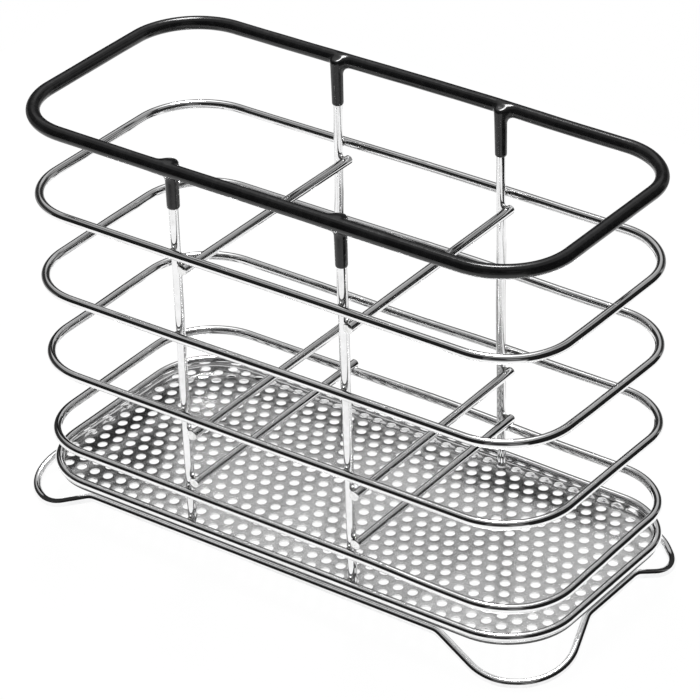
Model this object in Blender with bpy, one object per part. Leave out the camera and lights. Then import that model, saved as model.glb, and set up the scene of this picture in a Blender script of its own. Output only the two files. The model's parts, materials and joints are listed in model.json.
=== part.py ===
"""Cutlery holder: a welded wire basket with a vinyl-dipped rim and a perforated floor.

Metres, +Z up. X runs along the long sides and the front is -Y. The origin is on the table,
under the middle of the footprint that the foot wire makes.
"""

from math import ceil, cos, hypot, pi, radians, sin, sqrt, tan

import bmesh
import bpy
from mathutils import Matrix, Vector

# Outline that every hoop of wire shares, measured at the wire's centre
BASKET_LENGTH = 0.2000
BASKET_WIDTH = 0.0914
CORNER_RADIUS = 0.0231

# Stock: bright wire, the vinyl dipped over it, and the floor sheet
WIRE_RADIUS = 0.0015
RIM_COAT_RADIUS = 0.0023
DIP_COAT_RADIUS = 0.00215
PLATE_THICKNESS = 0.0006

# Gap left wherever two pieces are welded or clamped together
SEAT_GAP = 0.0003

# Heights, each from the hoop below it
FOOT_DROP = 0.0076
TRAY_TO_RING_4 = 0.0121
RING_4_TO_RING_3 = 0.0297
RING_3_TO_RING_2 = 0.0287
RING_2_TO_RING_1 = 0.0301
RING_1_TO_RIM = 0.0302

# Dividers: two pairs of uprights, each pair joined by three cross wires
LEFT_DIVIDER_X = -0.0324
RIGHT_DIVIDER_X = 0.0322
DIVIDER_OVERHANG = 0.0005
TOP_DIVIDER_BELOW_RING_1 = 0.0047
MIDDLE_DIVIDER_BELOW_RING_3 = 0.0068
LOW_DIVIDER_ABOVE_RING_4 = 0.0046

# Vinyl that runs down the top of each upright
UPRIGHT_ABOVE_RIM = 0.0009
DIP_LENGTH = 0.0162
DIP_CAP = 0.0005

# Floor sheet: round holes in staggered rows, with a plain margin under the tray ring
PLATE_OVERHANG = 0.0004
HOLE_DIAMETER = 0.0032
HOLE_PITCH = 0.00565
HOLE_MARGIN = 0.0008
HOLE_ROW_Y = -0.0014
HOLE_COLUMN_X = -0.0007

# Foot wire: one closed wire that leaves the outline at each corner in a hand-bent loop, so
# the loops differ a little. Measured from the outline's square corner, each one starts this
# far back along the side and along the end, and has its two low bends this far in and out.
FOOT_LOOPS = {
    (-1, -1): {
        "side_start": 0.0261,
        "end_start": 0.0323,
        "side_bend": (0.0087, 0.0032),
        "end_bend": (0.0078, 0.0106),
    },
    (1, -1): {
        "side_start": 0.0344,
        "end_start": 0.0331,
        "side_bend": (0.0119, 0.0057),
        "end_bend": (0.0063, 0.0086),
    },
    (1, 1): {
        "side_start": 0.0310,
        "end_start": 0.0303,
        "side_bend": (0.0121, 0.0044),
        "end_bend": (0.0123, 0.0055),
    },
    (-1, 1): {
        "side_start": 0.0305,
        "end_start": 0.0319,
        "side_bend": (0.0110, 0.0044),
        "end_bend": (0.0085, 0.0083),
    },
}
FOOT_START_RADIUS = 0.0070
FOOT_TIP_RADIUS = 0.0180

# Facets. Their flats lie at the true radius, so each piece seats and rests at its real size.
WIRE_SIDES = 8
COAT_SIDES = 12
HOLE_SIDES = 4
HOOP_STEPS = 6
FOOT_START_STEPS = 3
FOOT_TIP_STEPS = 5
SMOOTH_BELOW = radians(50)

# Share of a straight run that the bends at its two ends may take up between them
BEND_SHARE = 0.96
# How far a cutter reaches past what it cuts
CUT_OVERSHOOT = 0.002

HALF_LENGTH = BASKET_LENGTH / 2
HALF_WIDTH = BASKET_WIDTH / 2
SEAT_SPACING = 2 * WIRE_RADIUS + SEAT_GAP
CAVITY_RADIUS = WIRE_RADIUS + SEAT_GAP
UPRIGHT_Y = HALF_WIDTH - SEAT_SPACING

FOOT_LOW_Z = WIRE_RADIUS
FOOT_WIRE_Z = FOOT_LOW_Z + FOOT_DROP
PLATE_Z = FOOT_WIRE_Z + WIRE_RADIUS + SEAT_GAP + PLATE_THICKNESS / 2
PLATE_TOP_Z = PLATE_Z + PLATE_THICKNESS / 2
TRAY_Z = PLATE_TOP_Z + SEAT_GAP + WIRE_RADIUS
RING_4_Z = TRAY_Z + TRAY_TO_RING_4
RING_3_Z = RING_4_Z + RING_4_TO_RING_3
RING_2_Z = RING_3_Z + RING_3_TO_RING_2
RING_1_Z = RING_2_Z + RING_2_TO_RING_1
RIM_Z = RING_1_Z + RING_1_TO_RIM
UPRIGHT_BOTTOM_Z = PLATE_TOP_Z + SEAT_GAP
UPRIGHT_TOP_Z = RIM_Z + UPRIGHT_ABOVE_RIM
DIP_BOTTOM_Z = RIM_Z - DIP_LENGTH
DIP_TOP_Z = UPRIGHT_TOP_Z + SEAT_GAP + DIP_CAP


def clear_scene():
    for old in list(bpy.data.objects):
        bpy.data.objects.remove(old, do_unlink=True)


def make_material(name, colour, roughness, metallic):
    material = bpy.data.materials.new(name)
    material.use_nodes = True
    surface = material.node_tree.nodes["Principled BSDF"]
    surface.inputs["Base Color"].default_value = (*colour, 1.0)
    surface.inputs["Roughness"].default_value = roughness
    surface.inputs["Metallic"].default_value = metallic
    return material


def add_object(name, data, location, holder=None, material=None):
    """Links a piece to the scene, or a helper when it has no material."""
    added = bpy.data.objects.new(name, data)
    added.location = location
    added.parent = holder
    bpy.context.scene.collection.objects.link(added)
    if material:
        data.materials.append(material)
    else:
        added.hide_render = True
        added.display_type = "WIRE"
    return added


def finish_mesh(body, name):
    """Mesh from a bmesh, facing outwards and shaded smooth across its facets."""
    bmesh.ops.recalc_face_normals(body, faces=body.faces)
    mesh = bpy.data.meshes.new(name)
    body.to_mesh(mesh)
    body.free()
    mesh.shade_smooth()
    mesh.set_sharp_from_angle(angle=SMOOTH_BELOW)
    return mesh


def facet_corner_radius(radius, sides):
    """Distance to the corners of a regular outline whose flats lie at this radius."""
    return radius / cos(pi / sides)


def fitted_setbacks(corners, turns, radii):
    """How far before and after each corner its bend starts, cut back where two would meet."""
    wanted = [radius * tan(turn / 2) for radius, turn in zip(radii, turns)]
    fitted = list(wanted)
    for i, corner in enumerate(corners):
        before = i - 1
        room = (corner - corners[before]).length * BEND_SHARE
        share = min(1, room / (wanted[before] + wanted[i]))
        fitted[before] = min(fitted[before], wanted[before] * share)
        fitted[i] = min(fitted[i], wanted[i] * share)
    return fitted


def bent_wire_path(corners, radii, steps):
    """Points along a closed wire that runs straight between its corners and bends at each."""
    nexts = corners[1:] + corners[:1]
    lasts = corners[-1:] + corners[:-1]
    backs = [(last - corner).normalized() for last, corner in zip(lasts, corners)]
    aheads = [(following - corner).normalized() for following, corner in zip(nexts, corners)]
    turns = [pi - back.angle(ahead) for back, ahead in zip(backs, aheads)]
    setbacks = fitted_setbacks(corners, turns, radii)
    points = []
    for corner, back, ahead, turn, setback, count in zip(corners, backs, aheads, turns, setbacks, steps):
        bend_radius = setback / tan(turn / 2)
        centre = corner + (back + ahead).normalized() * hypot(bend_radius, setback)
        spoke_in = corner + back * setback - centre
        spoke_out = corner + ahead * setback - centre
        for step in range(count + 1):
            share = step / count
            spoke = spoke_in * sin((1 - share) * turn) + spoke_out * sin(share * turn)
            points.append(centre + spoke / sin(turn))
    return points


def hoop_path():
    """The basket's rounded outline, level and about its own middle."""
    signs = [(-1, -1), (1, -1), (1, 1), (-1, 1)]
    corners = [Vector((x * HALF_LENGTH, y * HALF_WIDTH, 0)) for x, y in signs]
    return bent_wire_path(corners, [CORNER_RADIUS] * len(corners), [HOOP_STEPS] * len(corners))


def foot_loop_corners(x_sign, y_sign, loop):
    """The four corners of one loop, from the long side round to the end."""

    def place(inward_x, inward_y, z):
        return Vector((x_sign * (HALF_LENGTH - inward_x), y_sign * (HALF_WIDTH - inward_y), z))

    side_in, side_out = loop["side_bend"]
    end_in, end_out = loop["end_bend"]
    return [
        place(loop["side_start"], 0, FOOT_WIRE_Z),
        place(side_in, -side_out, FOOT_LOW_Z),
        place(-end_out, end_in, FOOT_LOW_Z),
        place(0, loop["end_start"], FOOT_WIRE_Z),
    ]


def foot_path():
    corners = []
    for (x_sign, y_sign), loop in FOOT_LOOPS.items():
        loop_corners = foot_loop_corners(x_sign, y_sign, loop)
        if x_sign != y_sign:
            corners += loop_corners
        else:
            corners += reversed(loop_corners)
    radii = [FOOT_START_RADIUS, FOOT_TIP_RADIUS, FOOT_TIP_RADIUS, FOOT_START_RADIUS] * len(FOOT_LOOPS)
    steps = [FOOT_START_STEPS, FOOT_TIP_STEPS, FOOT_TIP_STEPS, FOOT_START_STEPS] * len(FOOT_LOOPS)
    return bent_wire_path(corners, radii, steps)


def poly_curve(name, outlines, dimensions):
    """Curve data with one closed polygon for each outline."""
    curve = bpy.data.curves.new(name, "CURVE")
    curve.dimensions = dimensions
    for outline in outlines:
        spline = curve.splines.new("POLY")
        spline.points.add(len(outline) - 1)
        for point, place in zip(spline.points, outline):
            point.co = (*place, 1)
        spline.use_cyclic_u = True
    return curve


def regular_outline(corner_radius, sides, x=0, y=0):
    """Regular polygon about (x, y), with flats facing along both axes."""
    angles = [2 * pi * (i + 0.5) / sides for i in range(sides)]
    return [(x + corner_radius * cos(angle), y + corner_radius * sin(angle), 0) for angle in angles]


def tube_mesh(name, path, radius, sides):
    """Closed tube along a path, swept from a section that stays upright."""
    outline = regular_outline(facet_corner_radius(radius, sides), sides)
    section = poly_curve(name + "_section", [outline], "2D")
    section_object = add_object(name + "_section", section, (0, 0, 0))
    curve = poly_curve(name + "_path", [path], "3D")
    curve.twist_mode = "Z_UP"
    curve.bevel_mode = "OBJECT"
    curve.bevel_object = section_object
    swept = add_object(name + "_path", curve, (0, 0, 0))
    bpy.context.view_layer.update()
    graph = bpy.context.evaluated_depsgraph_get()
    swept_mesh = bpy.data.meshes.new_from_object(swept.evaluated_get(graph))
    body = bmesh.new()
    body.from_mesh(swept_mesh)
    bpy.data.meshes.remove(swept_mesh)
    bpy.data.objects.remove(swept, do_unlink=True)
    bpy.data.objects.remove(section_object, do_unlink=True)
    return finish_mesh(body, name)


def rod_mesh(name, radius, length, sides, along="Z"):
    """Straight rod centred on its origin."""
    body = bmesh.new()
    corner_radius = facet_corner_radius(radius, sides)
    bmesh.ops.create_cone(
        body,
        cap_ends=True,
        segments=sides,
        radius1=corner_radius,
        radius2=corner_radius,
        depth=length,
        matrix=Matrix.Rotation(pi / sides, 4, "Z"),
    )
    if along == "Y":
        bmesh.ops.rotate(body, verts=body.verts, matrix=Matrix.Rotation(pi / 2, 3, "X"))
    return finish_mesh(body, name)


def upright_places():
    """Name and position in plan of each upright: a divider's wires sit on its +X side."""
    offset = SEAT_SPACING / 2
    return {
        "front_left": (LEFT_DIVIDER_X - offset, -UPRIGHT_Y),
        "front_right": (RIGHT_DIVIDER_X - offset, -UPRIGHT_Y),
        "back_left": (LEFT_DIVIDER_X - offset, UPRIGHT_Y),
        "back_right": (RIGHT_DIVIDER_X - offset, UPRIGHT_Y),
    }


def add_upright_rods(prefix, radius, bottom, top, sides, holder=None, material=None):
    """A vertical rod at each upright's place, all sharing one mesh."""
    mesh = rod_mesh(prefix, radius, top - bottom, sides)
    if material:
        mesh.materials.append(material)
    rods = []
    for name, (x, y) in upright_places().items():
        rod = bpy.data.objects.new(f"{prefix}_{name}", mesh)
        rod.location = (x, y, (bottom + top) / 2)
        rod.parent = holder
        rod.hide_render = material is None
        rod.display_type = "TEXTURED" if material else "WIRE"
        bpy.context.scene.collection.objects.link(rod)
        rods.append(rod)
    return rods


def add_uprights(holder, bright_wire):
    bottom = UPRIGHT_BOTTOM_Z
    add_upright_rods("upright", WIRE_RADIUS, bottom, UPRIGHT_TOP_Z, WIRE_SIDES, holder, bright_wire)


def add_boolean(target, operation, other):
    modifier = target.modifiers.new(f"{operation.lower()}_{other.name}", "BOOLEAN")
    modifier.operation = operation
    modifier.solver = "EXACT"
    modifier.object = other


def add_hoops(holder, bright_wire):
    """The rim's core, the four side rings and the ring that holds the floor sheet down."""
    heights = {
        "rim_wire": RIM_Z,
        "side_ring_1": RING_1_Z,
        "side_ring_2": RING_2_Z,
        "side_ring_3": RING_3_Z,
        "side_ring_4": RING_4_Z,
        "tray_ring": TRAY_Z,
    }
    mesh = tube_mesh("hoop", hoop_path(), WIRE_RADIUS, WIRE_SIDES)
    mesh.materials.append(bright_wire)
    for name, height in heights.items():
        hoop = bpy.data.objects.new(name, mesh)
        hoop.location = (0, 0, height)
        hoop.parent = holder
        bpy.context.scene.collection.objects.link(hoop)


def add_rim_coating(holder, vinyl):
    """Vinyl skin over the rim's core and the uprights' tops, open where the uprights leave it."""
    outer = tube_mesh("rim_coating", hoop_path(), RIM_COAT_RADIUS, COAT_SIDES)
    coating = add_object("rim_coating", outer, (0, 0, RIM_Z), holder, vinyl)
    for dip in add_upright_rods("dip", DIP_COAT_RADIUS, DIP_BOTTOM_Z, DIP_TOP_Z, COAT_SIDES, holder):
        add_boolean(coating, "UNION", dip)
    core = tube_mesh("core_cavity", hoop_path(), CAVITY_RADIUS, COAT_SIDES)
    add_boolean(coating, "DIFFERENCE", add_object("core_cavity", core, (0, 0, RIM_Z), holder))
    cavity_bottom = DIP_BOTTOM_Z - CUT_OVERSHOOT
    cavity_top = UPRIGHT_TOP_Z + SEAT_GAP
    for cavity in add_upright_rods("cavity", CAVITY_RADIUS, cavity_bottom, cavity_top, COAT_SIDES, holder):
        add_boolean(coating, "DIFFERENCE", cavity)


def add_dividers(holder, bright_wire):
    """Three cross wires on each pair of uprights."""
    heights = {
        "top": RING_1_Z - TOP_DIVIDER_BELOW_RING_1,
        "middle": RING_3_Z - MIDDLE_DIVIDER_BELOW_RING_3,
        "bottom": RING_4_Z + LOW_DIVIDER_ABOVE_RING_4,
    }
    length = 2 * (UPRIGHT_Y + WIRE_RADIUS + DIVIDER_OVERHANG)
    mesh = rod_mesh("divider", WIRE_RADIUS, length, WIRE_SIDES, along="Y")
    mesh.materials.append(bright_wire)
    for side, x in (("left", LEFT_DIVIDER_X), ("right", RIGHT_DIVIDER_X)):
        for level, height in heights.items():
            divider = bpy.data.objects.new(f"divider_{side}_{level}", mesh)
            divider.location = (x + SEAT_SPACING / 2, 0, height)
            divider.parent = holder
            bpy.context.scene.collection.objects.link(divider)


def inside_plate(x, y, inset):
    """Whether a point lies at least this far inside the floor sheet's edge."""
    reach = PLATE_OVERHANG - inset
    beyond_x = abs(x) - (HALF_LENGTH - CORNER_RADIUS)
    beyond_y = abs(y) - (HALF_WIDTH - CORNER_RADIUS)
    if beyond_x > 0 and beyond_y > 0:
        return hypot(beyond_x, beyond_y) <= CORNER_RADIUS + reach
    return beyond_x <= CORNER_RADIUS + reach and beyond_y <= CORNER_RADIUS + reach


def hole_centres():
    """Staggered rows of hole centres, each row half a pitch across from the last."""
    row_pitch = HOLE_PITCH * sqrt(3) / 2
    row_reach = ceil(HALF_WIDTH / row_pitch) + 1
    column_reach = ceil(HALF_LENGTH / HOLE_PITCH) + 1
    centres = []
    for row in range(-row_reach, row_reach + 1):
        y = HOLE_ROW_Y + row * row_pitch
        for column in range(-column_reach, column_reach + 1):
            x = HOLE_COLUMN_X + (column + 0.5 * (row % 2)) * HOLE_PITCH
            if inside_plate(x, y, HOLE_DIAMETER / 2 + HOLE_MARGIN):
                centres.append((x, y))
    return centres


def plate_outline():
    """The hoops' outline, moved outwards by the sheet's overhang."""
    outline = []
    for point in hoop_path():
        middle_x = max(-HALF_LENGTH + CORNER_RADIUS, min(HALF_LENGTH - CORNER_RADIUS, point.x))
        middle_y = max(-HALF_WIDTH + CORNER_RADIUS, min(HALF_WIDTH - CORNER_RADIUS, point.y))
        middle = Vector((middle_x, middle_y, 0))
        outline.append(middle + (point - middle) * (1 + PLATE_OVERHANG / CORNER_RADIUS))
    return outline


def add_base_plate(holder, sheet_steel):
    """Flat sheet, whose holes keep a round hole's area with few sides."""
    facet_area = HOLE_SIDES * sin(2 * pi / HOLE_SIDES)
    corner_radius = HOLE_DIAMETER / 2 * sqrt(2 * pi / facet_area)
    holes = [regular_outline(corner_radius, HOLE_SIDES, x, y) for x, y in hole_centres()]
    plate = poly_curve("base_plate", [plate_outline(), *holes], "2D")
    plate.fill_mode = "BOTH"
    plate.extrude = PLATE_THICKNESS / 2
    add_object("base_plate", plate, (0, 0, PLATE_Z), holder, sheet_steel)


def add_foot_wire(holder, bright_wire):
    """Adds the foot wire, and moves the holder so that the origin is under its middle."""
    mesh = tube_mesh("foot_wire", foot_path(), WIRE_RADIUS, WIRE_SIDES)
    add_object("foot_wire", mesh, (0, 0, 0), holder, bright_wire)
    for axis in (0, 1):
        reach = [vertex.co[axis] for vertex in mesh.vertices]
        holder.location[axis] = -(min(reach) + max(reach)) / 2


def build():
    clear_scene()
    bright_wire = make_material("bright_wire", (0.78, 0.78, 0.79), 0.12, 1.0)
    black_vinyl = make_material("black_vinyl", (0.015, 0.015, 0.016), 0.35, 0.0)
    sheet_steel = make_material("sheet_steel", (0.60, 0.60, 0.60), 0.35, 1.0)
    holder = bpy.data.objects.new("holder", None)
    bpy.context.scene.collection.objects.link(holder)
    add_foot_wire(holder, bright_wire)
    add_base_plate(holder, sheet_steel)
    add_hoops(holder, bright_wire)
    add_uprights(holder, bright_wire)
    add_dividers(holder, bright_wire)
    add_rim_coating(holder, black_vinyl)


build()
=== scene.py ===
import json
from math import ceil, cos, hypot, pi, radians, sin, tan

import bmesh
import bpy
import numpy as np
from mathutils import Matrix, Vector

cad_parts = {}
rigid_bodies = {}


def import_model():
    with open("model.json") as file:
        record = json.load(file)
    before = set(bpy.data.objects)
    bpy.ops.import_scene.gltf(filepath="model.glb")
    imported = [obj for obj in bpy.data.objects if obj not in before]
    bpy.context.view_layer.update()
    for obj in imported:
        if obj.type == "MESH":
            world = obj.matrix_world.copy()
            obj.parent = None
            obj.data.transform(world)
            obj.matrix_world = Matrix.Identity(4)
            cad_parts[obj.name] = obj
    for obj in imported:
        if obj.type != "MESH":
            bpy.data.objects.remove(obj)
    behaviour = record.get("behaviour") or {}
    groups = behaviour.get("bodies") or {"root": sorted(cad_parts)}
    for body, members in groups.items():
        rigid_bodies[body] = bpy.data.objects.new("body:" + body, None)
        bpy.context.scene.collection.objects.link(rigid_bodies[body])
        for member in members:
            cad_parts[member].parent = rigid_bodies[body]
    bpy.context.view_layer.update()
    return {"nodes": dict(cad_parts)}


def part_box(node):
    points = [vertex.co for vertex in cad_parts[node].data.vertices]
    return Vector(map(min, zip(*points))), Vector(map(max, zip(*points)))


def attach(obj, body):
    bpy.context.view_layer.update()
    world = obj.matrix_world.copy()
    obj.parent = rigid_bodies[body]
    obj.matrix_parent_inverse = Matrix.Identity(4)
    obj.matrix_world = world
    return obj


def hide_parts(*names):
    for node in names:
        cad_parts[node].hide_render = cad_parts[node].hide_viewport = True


for old in list(bpy.data.objects):
    bpy.data.objects.remove(old, do_unlink=True)

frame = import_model()
print("frame loaded:", len(frame["nodes"]), "nodes")


# small helpers for node trees

socketKinds = {float: "Float", int: "Int", tuple: "Vector"}


def newTree(treeKind, name, inputs, outputName, outputKind):
    # inputs: a default for each name, or the kind of a socket that has none
    tree = bpy.data.node_groups.new(name, treeKind)
    for label, value in inputs.items():
        kind = socketKinds.get(type(value), value)
        socket = tree.interface.new_socket(label, in_out="INPUT", socket_type="NodeSocket" + kind)
        if kind != value:
            socket.default_value = value
    tree.interface.new_socket(outputName, in_out="OUTPUT", socket_type="NodeSocket" + outputKind)
    return tree, addNode(tree, "NodeGroupInput").outputs


def addNode(tree, kind, inputs=None, **settings):
    node = tree.nodes.new(kind)
    for key, value in settings.items():
        setattr(node, key, value)
    setInputs(tree, node, inputs or {})
    return node


def setInputs(tree, node, inputs):
    # each a plain value, the output of another node, or a node, which stands for its first output
    for key, value in inputs.items():
        if isinstance(value, bpy.types.Node):
            value = value.outputs[0]
        if isinstance(value, bpy.types.NodeSocket):
            tree.links.new(value, node.inputs[key])
        else:
            node.inputs[key].default_value = value


def addMath(tree, operation, first, second, kind="ShaderNodeMath"):
    return addNode(tree, kind, {0: first, 1: second}, operation=operation)


# small helpers for objects and meshes

def placeObject(name, data):
    item = bpy.data.objects.new(name, data)
    bpy.context.scene.collection.objects.link(item)
    return item


def finalMesh(item):
    # what the modifiers of a helper object make of it; the helper goes
    bpy.context.view_layer.update()
    graph = bpy.context.evaluated_depsgraph_get()
    mesh = bpy.data.meshes.new_from_object(item.evaluated_get(graph))
    bpy.data.objects.remove(item, do_unlink=True)
    return mesh


def runTree(helperMesh, tree, values, pieceName):
    # hangs the tree on a helper, sets its inputs by identifier, and keeps the result as a plain
    # mesh; each input takes the value of its own name, as Corner Radius takes cornerRadius
    helper = placeObject(pieceName + "Helper", helperMesh)
    modifier = helper.modifiers.new("tree", "NODES")
    modifier.node_group = tree
    for item in tree.interface.items_tree:
        key = item.name[0].lower() + item.name[1:].replace(" ", "")
        if item.in_out == "INPUT" and key in values:
            modifier[item.identifier] = values[key]
    mesh = finalMesh(helper)
    mesh.name = pieceName
    return placeObject(pieceName, mesh)


def pointsOf(mesh):
    flat = np.empty(len(mesh.vertices) * 3)
    mesh.vertices.foreach_get("co", flat)
    return flat.reshape(-1, 3)


def setPoints(mesh, points):
    mesh.vertices.foreach_set("co", points.astype(np.float32).ravel())
    mesh.update()
    mesh.shade_smooth()


def middleAndHalf(node):
    low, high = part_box(node)
    return (low + high) / 2, (high - low) / 2


def pieceNameOf(node):
    first, *others = node.split("_")
    return first + "".join(word.capitalize() for word in others)


def finishPiece(piece, slotName, *nodes):
    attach(piece, "root")
    if nodes:
        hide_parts(*nodes)


def readTable(table, spots, turn=None):
    # smooth values between (spot, value) pairs; turn joins the ends of a table of bearings
    keys = np.array([key for key, _ in table], dtype=float)
    values = np.array([value for _, value in table], dtype=float)
    spots = np.asarray(spots, dtype=float)
    if turn:
        keys = np.concatenate([keys[-1:] - turn, keys, keys[:1] + turn])
        values = np.concatenate([values[-1:], values, values[:1]])
        spots = np.mod(spots, turn)
    index = np.clip(np.searchsorted(keys, spots, side="right") - 1, 0, len(keys) - 2)
    share = np.clip((spots - keys[index]) / (keys[index + 1] - keys[index]), 0, 1)
    share = share * share * (3 - 2 * share)
    return values[index] * (1 - share) + values[index + 1] * share


# shader groups that more than one finish uses

def makeGrainGroup():
    # streaks or pimples, depending on how the vector is stretched
    inputs = {
        "Vector": "Vector",
        "Stretch": (1.0, 1.0, 1.0),
        "Scale": 1000.0,
        "Low": 0.3,
        "High": 0.7,
    }
    group, given = newTree("ShaderNodeTree", "grain", inputs, "Mask", "Float")
    place = addMath(group, "MULTIPLY", given["Vector"], given["Stretch"], "ShaderNodeVectorMath")
    grain = {"Vector": place, "Scale": given["Scale"], "Detail": 3.0, "Roughness": 0.55}
    noise = addNode(group, "ShaderNodeTexNoise", grain)
    limits = {"Value": noise, "From Min": given["Low"], "From Max": given["High"]}
    addNode(group, "NodeGroupOutput", {0: addNode(group, "ShaderNodeMapRange", limits)})
    return group


def makeMarksGroup():
    # finger smudges: broad clouds broken up by finer ones, seven to each
    inputs = {"Vector": "Vector", "Size": 60.0, "Cover": 0.5}
    group, given = newTree("ShaderNodeTree", "handlingMarks", inputs, "Mask", "Float")
    clouds = {"Vector": given["Vector"], "Scale": given["Size"], "Detail": 2.0, "Distortion": 0.4}
    broad = addNode(group, "ShaderNodeTexNoise", clouds)
    finerSize = addMath(group, "MULTIPLY", given["Size"], 7.0)
    wisps = {"Vector": given["Vector"], "Scale": finerSize, "Detail": 4.0}
    both = addMath(group, "MULTIPLY", broad, addNode(group, "ShaderNodeTexNoise", wisps))
    limits = {"Value": both, "From Min": 0.18, "From Max": 0.36}
    spread = addNode(group, "ShaderNodeMapRange", limits)
    addNode(group, "NodeGroupOutput", {0: addMath(group, "MULTIPLY", spread, given["Cover"])})
    return group


grainGroup = makeGrainGroup()
marksGroup = makeMarksGroup()


# finishes: every one has two colours, a range of roughness, and a bump with its depth and strength

def newFinish(name):
    material = bpy.data.materials.new(name)
    material.use_nodes = True
    place = addNode(material.node_tree, "ShaderNodeTexCoord").outputs["Object"]
    return material, material.node_tree, place


def addMask(tree, group, vector, values):
    return addNode(tree, "ShaderNodeGroup", {"Vector": vector, **values}, node_tree=group)


def dress(tree, finish, colourMask, roughMask, bumpMask, metallic=1.0):
    first, second = ((*colour, 1.0) for colour in finish["colours"])
    colour = addNode(tree, "ShaderNodeMix", {0: colourMask, 6: first, 7: second}, data_type="RGBA")
    low, high = finish["roughness"]
    rough = addNode(tree, "ShaderNodeMapRange", {"Value": roughMask, "To Min": low, "To Max": high})
    depth, strength = finish["bump"]
    relief = {"Height": bumpMask, "Distance": depth, "Strength": strength}
    surface = {
        "Base Color": colour.outputs[2],
        "Roughness": rough,
        "Metallic": metallic,
        "Normal": addNode(tree, "ShaderNodeBump", relief),
    }
    setInputs(tree, tree.nodes["Principled BSDF"], surface)


wireFinish = {
    "colours": ((0.93, 0.93, 0.935), (0.84, 0.84, 0.84)),  # clean and smudged
    "roughness": (0.045, 0.13),
    "bump": (0.000004, 0.35),
    "drawLines": (6.0, 1100.0, 1100.0),  # per metre along and around the wire
    "smudges": {"Size": 55.0, "Cover": 0.8},
}


def makeWireMaterial():
    # bright drawn wire: faint draw lines along it and a few smudges
    material, tree, place = newFinish("brightWire")
    along = addNode(tree, "ShaderNodeAttribute", attribute_name="along").outputs["Fac"]
    ring = addNode(tree, "ShaderNodeAttribute", attribute_name="ring").outputs["Vector"]
    ringX, ringY, _ = addNode(tree, "ShaderNodeSeparateXYZ", {0: ring}).outputs
    joined = addNode(tree, "ShaderNodeCombineXYZ", {0: along, 1: ringX, 2: ringY})
    lines = addMask(tree, grainGroup, joined, {"Stretch": wireFinish["drawLines"], "Scale": 1.0})
    smudges = addMask(tree, marksGroup, place, wireFinish["smudges"])
    dress(tree, wireFinish, smudges, smudges, lines)
    return material


stains = {"Size": 400.0, "Cover": 1.0}
# weld nuggets: both colours kept dark as painted shade in the notch where the wires cross; the scorched
# patches from the stains mask are real
weldNotchShadeFinish = {
    "colours": ((0.58, 0.58, 0.57), (0.32, 0.31, 0.30)),  # clean and scorched
    "roughness": (0.12, 0.30),
    "bump": (0.00003, 0.6),
    "lumpScale": 1500.0,
}
squeezedFinish = {
    "colours": ((0.93, 0.93, 0.93), (0.74, 0.74, 0.73)),
    "roughness": (0.08, 0.20),
    "bump": (0.00002, 0.6),
    "lumpScale": 1300.0,
}
# near-black sheared edge of the floor sheet: painted shade for the dark gap line between the sheet and
# the tray ring; its lumps and roughness are its own
paintedShadeEdgeFinish = {
    "colours": ((0.13, 0.13, 0.13), (0.07, 0.07, 0.07)),
    "roughness": (0.30, 0.45),
    "bump": (0.00001, 0.6),
    "lumpScale": 1500.0,
}


def makeLumpyMaterial(materialName, finish):
    # metal that was welded, squeezed or sheared: lumpy and unevenly stained; the near-black sheared
    # edge and the dark welds also carry painted shade
    material, tree, place = newFinish(materialName)
    lumps = addMask(tree, grainGroup, place, {"Scale": finish["lumpScale"]})
    dress(tree, finish, addMask(tree, marksGroup, place, stains), lumps, lumps)
    return material


vinylFinish = {
    "colours": ((0.0095, 0.0095, 0.010), (0.016, 0.016, 0.0165)),  # deep and worn
    "roughness": (0.14, 0.22),
    "bump": (0.00001, 0.25),
    "peelScale": 700.0,
    "smudges": {"Size": 90.0, "Cover": 1.0},
}


def makeVinylMaterial():
    # dipped vinyl: a soft skin with a faint orange peel, duller where it has been handled
    material, tree, place = newFinish("blackVinyl")
    peel = addMask(tree, grainGroup, place, {"Scale": vinylFinish["peelScale"]})
    smudges = addMask(tree, marksGroup, place, vinylFinish["smudges"])
    dress(tree, vinylFinish, smudges, smudges, peel, metallic=0.0)
    return material


sheetFinish = {
    "colours": ((0.73, 0.73, 0.73), (0.87, 0.87, 0.87)),  # dull and bright
    "roughness": (0.16, 0.22),
    "bump": (0.00001, 0.4),
    "rollLines": (90.0, 1300.0, 1300.0),  # per metre: long marks along the sheet, fine ones across
    "specks": {"Scale": 1400.0, "Low": 0.35},
}


def makeSheetMaterial():
    # rolled sheet: fine lines along its length, mottled with specks
    material, tree, place = newFinish("sheetSteel")
    stretch = {"Stretch": sheetFinish["rollLines"], "Scale": 1.0}
    rollLines = addMask(tree, grainGroup, place, stretch)
    specks = addMask(tree, grainGroup, place, sheetFinish["specks"])
    dress(tree, sheetFinish, specks, rollLines, rollLines)
    return material


wireMaterial = makeWireMaterial()
weldNotchShadeMaterial = makeLumpyMaterial("weldMetal", weldNotchShadeFinish)
squeezedMaterial = makeLumpyMaterial("squeezedEnds", squeezedFinish)
paintedShadeEdgeMaterial = makeLumpyMaterial("shearedEdge", paintedShadeEdgeFinish)
vinylMaterial = makeVinylMaterial()
sheetMaterial = makeSheetMaterial()
print("finishes made")


# wires

wire = {
    "radius": 0.0015,
    "platedRadius": 0.00154,  # with its plating
    "cornerRadius": 0.0231,
    "facets": 24,
    "step": 0.0012,  # spacing of the rings of points along a bent wire
    "straightStep": 0.004,  # and along a straight one
    "bendRoom": 0.96,  # share of a straight run that the bends at its ends may take
    "waviness": 0.00007,  # how far a hand-fed wire strays from straight
    "waveScale": 22.0,
    "seedStep": 3.7,  # from the waves of one hoop to those of the next
    "jointSwell": 0.05,  # butt weld of each hoop, as a share of the radius
    "jointLength": 0.0011,
    "endDome": 0.00035,
    "endRings": 7,
    "endRound": 0.22,  # share of the radius that the rounding takes away at the very end
}

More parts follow.
